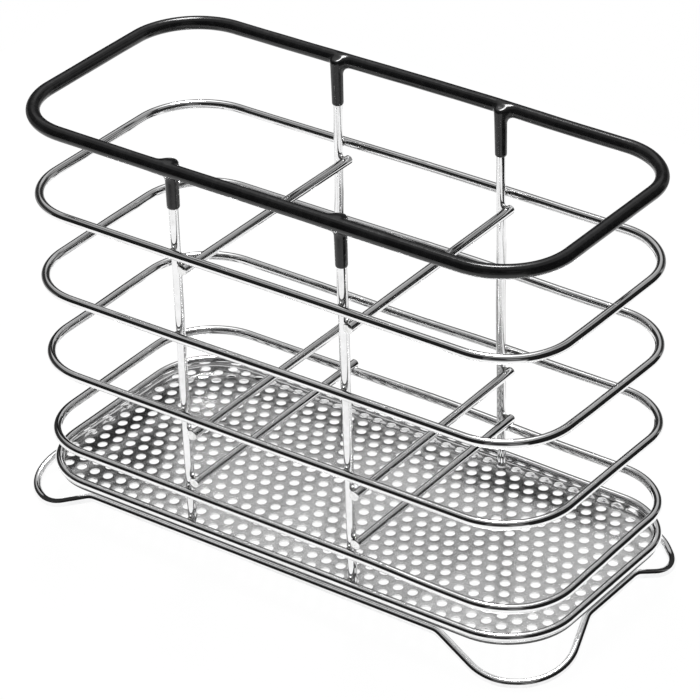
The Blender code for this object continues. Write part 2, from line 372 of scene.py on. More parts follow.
# what bending and welding by hand left: bearing from the middle in degrees, then millimetres;
# outward for all hoops alike, up or down hoop by hoop
outwardFault = [(30, 0.0), (47, -0.65), (57, -0.5), (76, 0.0), (150, 0.0)]
heightFaults = {
    "rim_wire": [
        (22, -0.05), (50, -0.3), (85, 0.05), (124, -0.25), (169, 0.05), (202, 0.05), (230, 0.0),
        (250, -0.1), (290, 0.05), (303, 0.05), (321, -0.05), (334, 0.0),
    ],
    "side_ring_1": [
        (22, -0.35), (50, 0.2), (85, 0.2), (126, -0.3), (160, -0.15), (240, -0.15), (288, 0.35),
        (306, 0.4), (321, 0.0), (349, -0.3),
    ],
    "side_ring_2": [
        (22, -0.1), (52, 0.0), (85, 0.5), (126, 0.15), (169, 0.0), (215, -0.4), (236, -0.3),
        (288, 0.35), (306, 0.55), (328, 0.55), (349, 0.15),
    ],
    "side_ring_3": [
        (6, 0.45), (22, 0.4), (48, -0.2), (77, -0.2), (93, -0.55), (121, 0.0), (154, 0.35),
        (202, -0.35), (232, -0.5), (273, -0.45), (301, -0.05), (328, 0.3),
    ],
    "side_ring_4": [
        (6, -0.45), (22, -0.15), (48, -0.4), (64, -0.3), (90, 0.55), (126, 0.25), (154, 0.15),
        (213, -0.5), (240, 0.0), (290, 0.05), (306, -0.75), (321, -1.3), (334, -1.2), (349, -0.85),
    ],
    "tray_ring": [
        (22, 0.3), (46, 0.0), (70, 0.25), (100, 0.25), (160, 0.4), (200, 0.2), (230, 0.0), (300, 0.1),
    ],
}
hoopNodes = list(heightFaults)


def strayOf(node, x, y, half):
    # how far a hoop strays at a place in plan, as three arrays in metres; its corners come at
    # the same bearings whatever its size, and 0 degrees is towards +X
    bearing = np.degrees(np.arctan2(y / half[1], x / half[0]))
    inset = np.array(half) - wire["cornerRadius"]
    outX = np.sign(x) * np.maximum(np.abs(x) - inset[0], 0)
    outY = np.sign(y) * np.maximum(np.abs(y) - inset[1], 0)
    reach = np.maximum(np.hypot(outX, outY), 1e-6)
    outward = readTable(outwardFault, bearing, 360) / 1000
    up = readTable(heightFaults[node], bearing, 360) / 1000
    return outX / reach * outward, outY / reach * outward, up


def addNoiseMove(tree, given, geometry, sizeName, scaleName):
    # moves points about by as much as one input says, in waves as another says
    waves = {"Scale": given[scaleName], "W": given["Seed"], "Detail": 1.0}
    noise = addNode(tree, "ShaderNodeTexNoise", waves, noise_dimensions="4D").outputs["Color"]
    centred = addMath(tree, "SUBTRACT", noise, (0.5, 0.5, 0.5), "ShaderNodeVectorMath")
    move = {0: centred, "Scale": given[sizeName]}
    sized = addNode(tree, "ShaderNodeVectorMath", move, operation="SCALE")
    return addNode(tree, "GeometryNodeSetPosition", {0: geometry, "Offset": sized})


def addMark(tree, geometry, name, kind, value):
    # stores a value with each point
    mark = {"Geometry": geometry, "Name": name, "Value": value}
    return addNode(tree, "GeometryNodeStoreNamedAttribute", mark, data_type=kind, domain="POINT")


def markOf(tree, name, kind):
    node = addNode(tree, "GeometryNodeInputNamedAttribute", {"Name": name}, data_type=kind)
    return node.outputs["Attribute"]


def endTree(tree, given, geometry):
    # shades the result smooth, makes it real and gives it the material
    smooth = addNode(tree, "GeometryNodeSetShadeSmooth", {0: geometry})
    real = addNode(tree, "GeometryNodeRealizeInstances", {0: smooth})
    painted = addNode(tree, "GeometryNodeSetMaterial", {0: real, "Material": given["Material"]})
    addNode(tree, "NodeGroupOutput", {0: painted})
    return tree


def makeWireTree():
    inputs = {
        "Geometry": "Geometry",
        "Wire Radius": 0.0015,
        "Facets": 24,
        "Waviness": 0.0,
        "Wave Scale": 20.0,
        "Seed": 0.0,
        "Material": "Material",
    }
    tree, given = newTree("GeometryNodeTree", "wireAlongPath", inputs, "Geometry", "Geometry")
    curve = addNode(tree, "GeometryNodeMeshToCurve", {0: given["Geometry"]})
    length = addNode(tree, "GeometryNodeSplineParameter").outputs["Length"]
    marked = addMark(tree, curve, "along", "FLOAT", length)
    ring = {"Resolution": given["Facets"], "Radius": given["Wire Radius"]}
    circle = addNode(tree, "GeometryNodeCurvePrimitiveCircle", ring, mode="RADIUS")
    place = addNode(tree, "GeometryNodeInputPosition")
    sweep = {
        "Curve": addNoiseMove(tree, given, marked, "Waviness", "Wave Scale"),
        "Profile Curve": addMark(tree, circle, "ring", "FLOAT_VECTOR", place),
        "Scale": markOf(tree, "thickness", "FLOAT"),
        "Fill Caps": True,
    }
    return endTree(tree, given, addNode(tree, "GeometryNodeCurveToMesh", sweep))


wireTree = makeWireTree()


def addRun(points, end, stepLength):
    # fills a straight run, without the point at its far end
    start = points[-1]
    steps = max(1, ceil((end - start).length / stepLength))
    for step in range(1, steps):
        points.append(start.lerp(end, step / steps))


def bentPath(corners, radii, stepLength):
    # straight runs and round bends through the corners of a closed wire, in even small steps
    count = len(corners)
    backs = [(corners[i - 1] - corners[i]).normalized() for i in range(count)]
    aheads = [(corners[(i + 1) % count] - corners[i]).normalized() for i in range(count)]
    turns = [pi - back.angle(ahead) for back, ahead in zip(backs, aheads)]
    wanted = [radius * tan(turn / 2) for radius, turn in zip(radii, turns)]
    setbacks = list(wanted)
    for i in range(count):
        room = (corners[i] - corners[i - 1]).length * wire["bendRoom"]
        share = min(1.0, room / (wanted[i - 1] + wanted[i]))
        setbacks[i - 1] = min(setbacks[i - 1], wanted[i - 1] * share)
        setbacks[i] = min(setbacks[i], wanted[i] * share)
    points = []
    for i, corner in enumerate(corners):
        bendRadius = setbacks[i] / tan(turns[i] / 2)
        centre = corner + (backs[i] + aheads[i]).normalized() * hypot(bendRadius, setbacks[i])
        spokeIn = corner + backs[i] * setbacks[i] - centre
        spokeOut = corner + aheads[i] * setbacks[i] - centre
        if points:
            addRun(points, centre + spokeIn, stepLength)
        steps = max(3, ceil(turns[i] * bendRadius / stepLength))
        for step in range(steps + 1):
            share = step / steps
            spoke = spokeIn * sin((1 - share) * turns[i]) + spokeOut * sin(share * turns[i])
            points.append(centre + spoke / sin(turns[i]))
    addRun(points, points[0], stepLength)
    return points


def pathMesh(name, points, thickness, closed):
    mesh = bpy.data.meshes.new(name)
    count = len(points)
    edges = [(i, i + 1) for i in range(count - 1)]
    if closed:
        edges.append((count - 1, 0))
    mesh.from_pydata([tuple(point) for point in points], edges, [])
    values = mesh.attributes.new("thickness", "FLOAT", "POINT")
    values.data.foreach_set("value", thickness)
    return mesh


def sweepWire(pieceName, points, thickness, closed=True, radius=wire["radius"], waviness=0.0, seed=0.0):
    values = {**wire, "wireRadius": radius, "waviness": waviness, "seed": seed}
    values["material"] = wireMaterial
    return runTree(pathMesh(pieceName, points, thickness, closed), wireTree, values, pieceName)


def hoopCorners(node):
    middle, half = middleAndHalf(node)
    half -= Vector((wire["radius"],) * 3)
    signs = [(-1, -1), (1, -1), (1, 1), (-1, 1)]
    return [Vector((middle.x + x * half.x, middle.y + y * half.y, middle.z)) for x, y in signs]


def swollenAt(points, joint):
    # thickness along a wire that has a dressed butt weld at one place
    values = []
    for point in points:
        share = min(1.0, (point - joint).length / wire["jointLength"])
        values.append(1.0 + wire["jointSwell"] * (1.0 - share * share * (3.0 - 2.0 * share)))
    return values


def makeHoops():
    for number, node in enumerate(hoopNodes):
        corners = hoopCorners(node)
        points = bentPath(corners, [wire["cornerRadius"]] * 4, wire["step"])
        jointSide = 1 if node == "tray_ring" else 2  # on the right, or at the back
        joint = corners[jointSide].lerp(corners[jointSide + 1], 0.5)
        thickness = swollenAt(points, joint)
        middle = (corners[0] + corners[2]) / 2
        half = (corners[2].x - middle.x, corners[2].y - middle.y)
        flat = np.array([tuple(point - middle) for point in points])
        strays = np.stack(strayOf(node, flat[:, 0], flat[:, 1], half), axis=1)
        points = [point + Vector(stray) for point, stray in zip(points, strays)]
        piece = sweepWire(
            pieceNameOf(node),
            points,
            thickness,
            radius=wire["platedRadius"],
            waviness=wire["waviness"],
            seed=wire["seedStep"] * number,
        )
        finishPiece(piece, "bright_wire", node)


makeHoops()
print("hoops swept")


# foot wire: each loop's start along the side and along the end, and its two bends, all measured
# in metres from the square corner of the hoops

footWire = {
    "drop": 0.0076,
    "heldIn": 0.00014,  # keeps the round bends inside the box of the solids
    "startRadius": 0.007,
    "tipRadius": 0.018,
    "loops": {
        (-1, -1): (0.0261, 0.0323, (0.0087, 0.0032), (0.0078, 0.0106)),
        (1, -1): (0.0344, 0.0331, (0.0119, 0.0057), (0.0063, 0.0086)),
        (1, 1): (0.0310, 0.0303, (0.0121, 0.0044), (0.0123, 0.0055)),
        (-1, 1): (0.0305, 0.0319, (0.0110, 0.0044), (0.0085, 0.0083)),
    },
}


def makeFootWire():
    middle, half = middleAndHalf("tray_ring")
    half -= Vector((wire["radius"],) * 3)
    lowZ = wire["radius"]
    highZ = lowZ + footWire["drop"]
    heldIn = footWire["heldIn"]
    corners = []
    for (xSign, ySign), (sideStart, endStart, sideBend, endBend) in footWire["loops"].items():
        insets = [
            (sideStart, 0, highZ),
            (sideBend[0], heldIn - sideBend[1], lowZ),
            (heldIn - endBend[1], endBend[0], lowZ),
            (0, endStart, highZ),
        ]
        loop = [
            Vector((middle.x + xSign * (half.x - inX), middle.y + ySign * (half.y - inY), z))
            for inX, inY, z in insets
        ]
        corners += loop if xSign != ySign else loop[::-1]
    start, tip = footWire["startRadius"], footWire["tipRadius"]
    points = bentPath(corners, [start, tip, tip, start] * 4, wire["step"])
    piece = sweepWire("footWire", points, [1.0] * len(points))
    finishPiece(piece, "bright_wire", "foot_wire")


makeFootWire()
print("foot wire swept")


# uprights and cross wires, in millimetres: how far each upright leans along X by height, and how
# far the front and back ends of each cross wire lie from true, as (x, y, z)

uprightLean = {
    "upright_front_left": [(15, 0.0), (50, -0.35), (72, -0.5), (145, -0.5)],
    "upright_front_right": [(15, 0.0), (110, 0.0), (145, -0.2)],
    "upright_back_left": [(15, 0.0), (82, -0.2), (112, 0.65), (130, 0.95), (145, 0.95)],
    "upright_back_right": [(15, -0.2), (70, -0.1), (100, 0.5), (130, 0.65), (145, 0.65)],
}
dividerDrift = {
    "divider_left_top": ((0.0, -0.8, -0.9), (0.5, -0.6, -0.4)),
    "divider_left_middle": ((0.0, -0.5, -1.0), (0.0, -0.6, -0.4)),
    "divider_left_bottom": ((0.0, -0.8, -0.9), (0.0, -0.2, 0.4)),
    "divider_right_top": ((0.0, -1.1, -1.2), (0.35, -1.0, 0.3)),
    "divider_right_middle": ((0.0, -0.8, -1.0), (0.0, -1.2, 0.7)),
    "divider_right_bottom": ((0.0, -1.1, -0.9), (0.0, -1.0, 0.7)),
}


def leanAt(node, height):
    return float(readTable(uprightLean[node], height * 1000)) / 1000


def rodPath(start, end):
    # a cut wire, its ends all but flat
    length = (end - start).length
    dome, rings = wire["endDome"], wire["endRings"]
    near = [dome * (1 - cos(pi / 2 * i / rings)) for i in range(rings + 1)]
    count = ceil(length / wire["straightStep"])
    middleRun = [dome + (length - 2 * dome) * i / count for i in range(1, count)]
    places = near + middleRun + [length - value for value in reversed(near)]
    points = [start.lerp(end, place / length) for place in places]
    thickness = []
    for place in places:
        gap = 1.0 - min(1.0, min(place, length - place) / dome)
        rounded = 1.0 - wire["endRound"] * (1.0 - (1.0 - gap ** 2) ** 0.5)
        thickness.append(rounded * wire["platedRadius"] / wire["radius"])
    return points, thickness


def makeRods():
    for node in sorted([*uprightLean, *dividerDrift]):
        low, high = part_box(node)
        middle = (low + high) / 2
        axis = 2 if node in uprightLean else 1
        start, end = middle.copy(), middle.copy()
        start[axis], end[axis] = low[axis], high[axis]
        if node in dividerDrift:
            start += Vector(dividerDrift[node][0]) / 1000
            end += Vector(dividerDrift[node][1]) / 1000
        points, thickness = rodPath(start, end)
        if node in uprightLean:
            points = [point + Vector((leanAt(node, point.z), 0, 0)) for point in points]
        piece = sweepWire(pieceNameOf(node), points, thickness, closed=False)
        finishPiece(piece, "bright_wire", node)


makeRods()
print("uprights and cross wires swept")


# welds where two wires cross, and the front ends of the cross wires, squeezed flat by the welding

weld = {
    "spread": 0.00118,  # how far a nugget reaches along the wires
    "depth": 0.0011,  # how far it reaches from one wire into the other
    "lumps": 0.00026,
    "seed": 5.0,
    "reach": 0.006,  # a cross wire is welded to the uprights that stand this near
}
squeezedEnd = {
    "spread": 0.0018,
    "depth": 0.00028,
    "lumps": 0.00008,
    "seed": 9.0,
    "shift": (0.0005, -0.0001, 0.0007),
}
lumpShape = {"lumpScale": 700.0, "subdivisions": 4}


def makeLumpTree():
    inputs = {
        "Geometry": "Geometry",
        "Spread": 0.001,
        "Depth": 0.001,
        "Lumps": 0.0002,
        "Lump Scale": 700.0,
        "Subdivisions": 3,
        "Seed": 5.0,
        "Material": "Material",
    }
    tree, given = newTree("GeometryNodeTree", "weldsAtCrossings", inputs, "Geometry", "Geometry")
    ball = {"Radius": 1.0, "Subdivisions": given["Subdivisions"]}
    facing = {"Vector": markOf(tree, "facing", "FLOAT_VECTOR")}
    size = {0: given["Spread"], 1: given["Spread"], 2: given["Depth"]}
    nuggets = {
        "Points": given["Geometry"],
        "Instance": addNode(tree, "GeometryNodeMeshIcoSphere", ball),
        "Rotation": addNode(tree, "FunctionNodeAlignRotationToVector", facing, axis="Z"),
        "Scale": addNode(tree, "ShaderNodeCombineXYZ", size),
    }
    placed = addNode(tree, "GeometryNodeInstanceOnPoints", nuggets)
    real = addNode(tree, "GeometryNodeRealizeInstances", {0: placed})
    return endTree(tree, given, addNoiseMove(tree, given, real, "Lumps", "Lump Scale"))


lumpTree = makeLumpTree()


def weldPlaces():
    # (point, direction from one wire to the other) of every crossing
    found = []
    uprights = {
        node: middleAndHalf(node)[0] for node in frame["nodes"] if node.startswith("upright")
    }
    for node in hoopNodes[1:]:
        low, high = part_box(node)
        middle = (low + high) / 2
        half = ((high.x - low.x) / 2 - wire["radius"], (high.y - low.y) / 2 - wire["radius"])
        for name, upright in uprights.items():
            side = -half[1] if upright.y < 0 else half[1]
            stray = strayOf(node, np.array([upright.x - middle.x]), np.array([side]), half)
            height = middle.z + float(stray[2][0])
            across = (upright.y + middle.y + side + float(stray[1][0])) / 2
            place = Vector((upright.x + leanAt(name, height), across, height))
            found.append((place, (0, 1, 0)))
    for node, drift in dividerDrift.items():
        bar = middleAndHalf(node)[0]
        for name, upright in uprights.items():
            if abs(upright.x - bar.x) < weld["reach"]:
                end = drift[0] if upright.y < 0 else drift[1]
                height = bar.z + end[2] / 1000
                x = (upright.x + leanAt(name, height) + bar.x + end[0] / 1000) / 2
                found.append((Vector((x, upright.y, height)), (1, 0, 0)))
    return found


def endPlaces():
    # the same for the front end of every cross wire
    found = []
    for node, (front, _) in dividerDrift.items():
        low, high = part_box(node)
        place = Vector(((low.x + high.x) / 2, low.y, (low.z + high.z) / 2)) + Vector(front) / 1000
        place += Vector(squeezedEnd["shift"])
        found.append((place, (0, 1, 0)))
    return found


def makeLumps(pieceName, places, sizes, material):
    helper = bpy.data.meshes.new(pieceName + "Places")
    helper.from_pydata([tuple(point) for point, _ in places], [], [])
    facing = helper.attributes.new("facing", "FLOAT_VECTOR", "POINT")
    facing.data.foreach_set("vector", [value for _, side in places for value in side])
    values = {**lumpShape, **sizes, "material": material}
    piece = runTree(helper, lumpTree, values, pieceName)
    finishPiece(piece, "bright_wire")
    print(pieceName + ":", len(places))


makeLumps("welds", weldPlaces(), weld, weldNotchShadeMaterial)
makeLumps("squeezedEnds", endPlaces(), squeezedEnd, squeezedMaterial)


# vinyl coat over the rim and the tops of the uprights

coat = {
    "radius": 0.0023,
    "dipTaper": 0.010,  # how much wider a dip gets per metre of height, as it drips down
    "dipRound": 0.0008,
    "topRound": 0.0010,
    "capThickness": 0.0003,
    "blend": 0.0028,  # size of the fillet that the vinyl leaves between rim and upright
    "lowered": 0.00006,  # keeps the waves of the skin inside the solid
    "flattened": 0.00030,  # depth in which the skin flattens out under the top of the solid
    "unevenness": 0.00004,
    "waves": (310, 270, 420),  # of the unevenness, per metre in X, Y and Z
    "waveStart": 1.3,
    "voxel": 0.00036,
    "probe": 0.00002,  # how far off the slope of the distance is felt
    "settlings": 6,
    "leastSlope": 0.2,
    # how far each dip ends above its solid, its radius, and how far vinyl has run along the rim
    "dips": {
        "upright_front_left": (0.0007, 0.00208, 0.0052),
        "upright_front_right": (-0.0003, 0.00196, 0.0048),
        "upright_back_left": (0.0009, 0.00194, 0.0),
        "upright_back_right": (0.0004, 0.00194, 0.0),
    },
}
# the low ridge where vinyl has run along the rim, on the left of an upright
ridge = {"radius": 0.0017, "thins": 0.0005, "outward": 0.0012, "below": 0.0021, "sinks": 0.0009}


def hoopDistance(points, middle, half):
    # distance from the centre line of the rim
    inset = half - wire["cornerRadius"]
    beyondX = np.abs(points[:, 0] - middle.x) - inset[0]
    beyondY = np.abs(points[:, 1] - middle.y) - inset[1]
    outside = np.hypot(np.maximum(beyondX, 0), np.maximum(beyondY, 0))
    inside = np.minimum(np.maximum(beyondX, beyondY), 0)
    return np.hypot(outside + inside - wire["cornerRadius"], points[:, 2] - middle.z)


def blendedIn(skin, added):
    # joins two skins with a fillet
    size = coat["blend"]
    mix = np.clip(0.5 + 0.5 * (added - skin) / size, 0, 1)
    return added * (1 - mix) + skin * mix - size * mix * (1 - mix)


def coatDistance(points, middle, half, dips):
    # signed distance from the skin: a tube blended into rounded rods
    waveX, waveY, waveZ = coat["waves"]
    wander = np.sin(points[:, 0] * waveX)
    wander += np.sin(points[:, 1] * waveY + coat["waveStart"])
    wander += np.sin(points[:, 2] * waveZ)
    stray = strayOf("rim_wire", points[:, 0] - middle.x, points[:, 1] - middle.y, half)
    straight = points - np.stack(stray, axis=1)
    skin = hoopDistance(straight, middle, half) - coat["radius"] - coat["unevenness"] * wander / 3
    for x, y, bottom, top, dipRadius, run in dips:
        if run:
            share = np.clip((points[:, 0] - x) / -run, 0, 1)
            away = np.sqrt(
                (points[:, 0] - (x - run * share)) ** 2
                + (points[:, 1] - y - ridge["outward"] * np.sign(y)) ** 2
                + (points[:, 2] - top + ridge["below"] + ridge["sinks"] * share) ** 2
            )
            skin = blendedIn(skin, away - ridge["radius"] + ridge["thins"] * share)
        rho = np.hypot(points[:, 0] - x, points[:, 1] - y)
        radius = dipRadius + coat["dipTaper"] * (points[:, 2] - bottom)
        height = (top - bottom) / 2
        level = points[:, 2] - (top + bottom) / 2
        rounding = np.where(level > 0, coat["topRound"], coat["dipRound"])
        across = rho - radius + rounding
        beyond = np.abs(level) - height + rounding
        corner = np.hypot(np.maximum(across, 0), np.maximum(beyond, 0))
        rod = np.minimum(np.maximum(across, beyond), 0) + corner - rounding
        skin = blendedIn(skin, rod)
    return skin


def settleOnSkin(points, distance):
    # walks every point down the distance field until it lies on the skin
    for _ in range(coat["settlings"]):
        here = distance(points)
        slope = np.empty_like(points)
        for axis in range(3):
            step = np.zeros(3)
            step[axis] = coat["probe"]
            slope[:, axis] = (distance(points + step) - distance(points - step)) / (2 * coat["probe"])
        steepness = np.maximum((slope * slope).sum(1), coat["leastSlope"])
        points = points - slope * (here / steepness)[:, None]
    return points


def makeRimCoat():
    middle, halfSize = middleAndHalf("rim_wire")
    middle -= Vector((0, 0, coat["lowered"]))
    half = np.array([halfSize.x - wire["radius"], halfSize.y - wire["radius"]])
    coatLow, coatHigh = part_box("rim_coating")
    dips = []
    for node, (shorter, dipRadius, run) in coat["dips"].items():
        low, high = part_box(node)
        x = (low.x + high.x) / 2 + leanAt(node, high.z)
        y = (low.y + high.y) / 2
        dips.append((x, y, coatLow.z + shorter, high.z + coat["capThickness"], dipRadius, run))
    points = bentPath(hoopCorners("rim_wire"), [wire["cornerRadius"]] * 4, wire["straightStep"])
    rough = sweepWire("rimCoat", points, [1.0] * len(points), radius=coat["radius"])
    body = bmesh.new()
    body.from_mesh(rough.data)
    for x, y, bottom, top, dipRadius, _ in dips:
        bmesh.ops.create_cone(
            body,
            cap_ends=True,
            segments=wire["facets"],
            radius1=dipRadius,
            radius2=dipRadius,
            depth=top - bottom,
            matrix=Matrix.Translation((x, y, (top + bottom) / 2)),
        )
    rough.data = bpy.data.meshes.new("rimCoatRough")
    body.to_mesh(rough.data)
    body.free()
    remesh = rough.modifiers.new("remesh", "REMESH")
    remesh.mode = "VOXEL"
    remesh.voxel_size = coat["voxel"]
    mesh = finalMesh(rough)
    settled = settleOnSkin(pointsOf(mesh), lambda spots: coatDistance(spots, middle, half, dips))
    level = coatHigh.z - coat["flattened"]
    over = np.maximum(settled[:, 2] - level, 0) / coat["flattened"]
    settled[:, 2] = np.minimum(settled[:, 2], level) + coat["flattened"] * (1 - np.exp(-over))
    setPoints(mesh, settled)
    mesh.materials.clear()
    mesh.materials.append(vinylMaterial)
    finishPiece(placeObject("rimCoat", mesh), "black_vinyl", "rim_coating")
    print("rim coat faces:", len(mesh.polygons))


makeRimCoat()


# perforated floor sheet

sheet = {
    "cornerRadius": 0.0235,
    "thickness": 0.0005,
    "holeDiameter": 0.0034,
    "holeFacets": 20,
    "rollWidth": 0.00016,  # the punch leaves a shallow rounded lip round each hole
    "rollDepth": 0.000016,
    "pitch": 0.00565,
    "rowPitch": 0.004913,
    "rowDrift": -0.000137,  # each row sits this far along from a true half pitch
    "rowTilt": 0.0029,
    "margin": 0.0003,
    "squeeze": (0.0006, 0.00025),  # how far the end holes are drawn in, left and right
    "squeezePower": 6,
    "firstHole": (0.00024, -0.00158),  # from the middle of the sheet
    "outlineStep": 0.0018,
    "cornerSteps": 24,
    "mergeWithin": 0.000004,
    "sharpFrom": 9,  # degrees
    # place, spread, rise and squareness of each broad bulge that the punching left
    "lobes": [(-0.043, 0.051, 0.0018, 4), (0.065, 0.025, 0.0011, 2), (0.015, 0.014, -0.0004, 2)],
    # place, spread in X and Y, and rise of the smaller ones
    "dents": [
        (-0.097, -0.006, 0.014, 0.028, -0.0006),
        (-0.070, 0.011, 0.012, 0.012, -0.0004),
        (0.012, 0.021, 0.030, 0.014, 0.0003),
        (0.044, 0.024, 0.018, 0.012, 0.0007),
        (0.080, 0.022, 0.013, 0.012, 0.0005),
    ],
    "clampedEnds": 0.012,  # width of the edge that the wires hold flat
    "clampedSides": 0.006,
}


def insideSheet(x, y, half, inset):
    radius = sheet["cornerRadius"]
    beyondX = abs(x) - (half.x - radius)
    beyondY = abs(y) - (half.y - radius)
    if beyondX > 0 and beyondY > 0:
        return hypot(beyondX, beyondY) <= radius - inset
    return beyondX <= radius - inset and beyondY <= radius - inset


def holePlaces(middle, half):
    rows = ceil(half.y / sheet["rowPitch"]) + 1
    columns = ceil(half.x / sheet["pitch"]) + 1
    firstX, firstY = sheet["firstHole"]
    left, right = sheet["squeeze"]
    inset = sheet["holeDiameter"] / 2 + sheet["margin"]
    found = []
    for row in range(-rows, rows + 1):
        for column in range(-columns, columns + 1):
            x = firstX + (column + 0.5 * (row % 2)) * sheet["pitch"] + row * sheet["rowDrift"]
            y = firstY + row * sheet["rowPitch"] + x * sheet["rowTilt"]
            x += (left if x < 0 else -right) * (x / half.x) ** sheet["squeezePower"]
            if insideSheet(x, y, half, inset):
                found.append((middle.x + x, middle.y + y, 0.0))
    return found


def makeSheetTree():
    # top and bottom faces with holes, and an open lining in each hole
    inputs = {
        "Geometry": "Geometry",
        "Length": 0.2,
        "Width": 0.1,
        "Corner Radius": 0.02,
        "Corner Steps": 24,
        "Outline Step": 0.002,
        "Centre": "Vector",
        "Hole Diameter": 0.003,
        "Hole Facets": 20,
        "Roll Width": 0.0002,
        "Roll Depth": 0.00006,
        "Thickness": 0.0006,
        "Merge Within": 0.000004,
        "Material": "Material",
    }
    tree, given = newTree("GeometryNodeTree", "perforatedSheet", inputs, "Geometry", "Geometry")

    def joined(*parts):
        node = addNode(tree, "GeometryNodeJoinGeometry")
        for part in parts:
            setInputs(tree, node, {0: part})
        return node

    def onHoles(shape):
        # one copy of a shape at every hole
        copies = {"Points": given["Geometry"], "Instance": shape}
        placed = addNode(tree, "GeometryNodeInstanceOnPoints", copies)
        return addNode(tree, "GeometryNodeRealizeInstances", {0: placed})

    def raisedBy(geometry, height):
        move = addNode(tree, "ShaderNodeCombineXYZ", {2: height})
        return addNode(tree, "GeometryNodeTransform", {0: geometry, "Translation": move})

    def faceWith(radius):
        # the outline filled, with a round hole of this radius at every point
        ring = {"Radius": radius, "Resolution": given["Hole Facets"]}
        circle = addNode(tree, "GeometryNodeCurvePrimitiveCircle", ring, mode="RADIUS")
        curves = joined(outline, onHoles(circle))
        return addNode(tree, "GeometryNodeFillCurve", {0: curves}, mode="TRIANGLES")

    def openCone(bottomRadius, topRadius, depth):
        cone = {
            "Vertices": given["Hole Facets"],
            "Radius Bottom": bottomRadius,
            "Radius Top": topRadius,
            "Depth": depth,
        }
        return addNode(tree, "GeometryNodeMeshCone", cone, fill_type="NONE")

    size = {"Width": given["Length"], "Height": given["Width"]}
    oblong = addNode(tree, "GeometryNodeCurvePrimitiveQuadrilateral", size, mode="RECTANGLE")
    corners = {0: oblong, "Radius": given["Corner Radius"], "Count": given["Corner Steps"]}
    rounded = addNode(tree, "GeometryNodeFilletCurve", corners, mode="POLY")
    steps = {0: rounded, "Length": given["Outline Step"]}
    evened = addNode(tree, "GeometryNodeResampleCurve", steps, mode="LENGTH")
    outline = addNode(tree, "GeometryNodeTransform", {0: evened, "Translation": given["Centre"]})

    thickness = given["Thickness"]
    rollDepth = given["Roll Depth"]
    inner = addMath(tree, "MULTIPLY", given["Hole Diameter"], 0.5)
    outer = addMath(tree, "ADD", inner, given["Roll Width"])
    rollStart = addMath(tree, "SUBTRACT", thickness, rollDepth)
    together = joined(
        raisedBy(faceWith(outer), thickness),
        addNode(tree, "GeometryNodeFlipFaces", {0: faceWith(inner)}),
        raisedBy(onHoles(openCone(inner, outer, rollDepth)), rollStart),
        onHoles(openCone(inner, inner, rollStart)),
    )
    merging = {0: together, "Distance": given["Merge Within"]}
    return endTree(tree, given, addNode(tree, "GeometryNodeMergeByDistance", merging))


def sheetRise(x, y, half):
    # how far the sheet bulges at a place; its clamped edge stays flat
    rise = np.zeros_like(x)
    for place, spread, height, squareness in sheet["lobes"]:
        rise += height * np.exp(-np.abs((x - place) / spread) ** squareness)
    rise *= np.clip(1 - (y / half.y) ** 2, 0, 1)
    for placeX, placeY, spreadX, spreadY, height in sheet["dents"]:
        rise += height * np.exp(-(((x - placeX) / spreadX) ** 2) - ((y - placeY) / spreadY) ** 2)
    endShare = np.clip((half.x - np.abs(x)) / sheet["clampedEnds"], 0, 1)
    sideShare = np.clip((half.y - np.abs(y)) / sheet["clampedSides"], 0, 1)
    return rise * endShare * endShare * (3 - 2 * endShare) * sideShare * (2 - sideShare)


def makeFloorSheet():
    middle, half = middleAndHalf("base_plate")
    _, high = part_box("base_plate")
    helper = bpy.data.meshes.new("holePlaces")
    helper.from_pydata(holePlaces(middle, half), [], [])
    values = {**sheet, "length": 2 * half.x, "width": 2 * half.y, "material": sheetMaterial}
    values["centre"] = (middle.x, middle.y, 0.0)
    piece = runTree(helper, makeSheetTree(), values, "floorSheet")
    mesh = piece.data
    # the outer edge wall of the sheet takes the near-black sheared finish, painted shade for the gap
    # under the tray ring
    mesh.materials.append(paintedShadeEdgeMaterial)
    body = bmesh.new()
    body.from_mesh(mesh)
    outerEdges = [edge for edge in body.edges if edge.is_boundary]
    for face in bmesh.ops.bridge_loops(body, edges=outerEdges)["faces"]:
        face.material_index = len(mesh.materials) - 1
    bmesh.ops.triangulate(body, faces=[face for face in body.faces if len(face.verts) > 4])
    bmesh.ops.recalc_face_normals(body, faces=body.faces)
    print("floor sheet open edges:", sum(edge.is_boundary for edge in body.edges))
    body.to_mesh(mesh)
    body.free()
    points = pointsOf(mesh)
    points[:, 2] += high.z - points[:, 2].max()  # its flat top is where the solid's is
    points[:, 2] += sheetRise(points[:, 0] - middle.x, points[:, 1] - middle.y, half)
    setPoints(mesh, points)
    mesh.set_sharp_from_angle(angle=radians(sheet["sharpFrom"]))
    finishPiece(piece, "sheet_steel", "base_plate")
    print("floor sheet faces:", len(mesh.polygons))


makeFloorSheet()


# table, light and camera

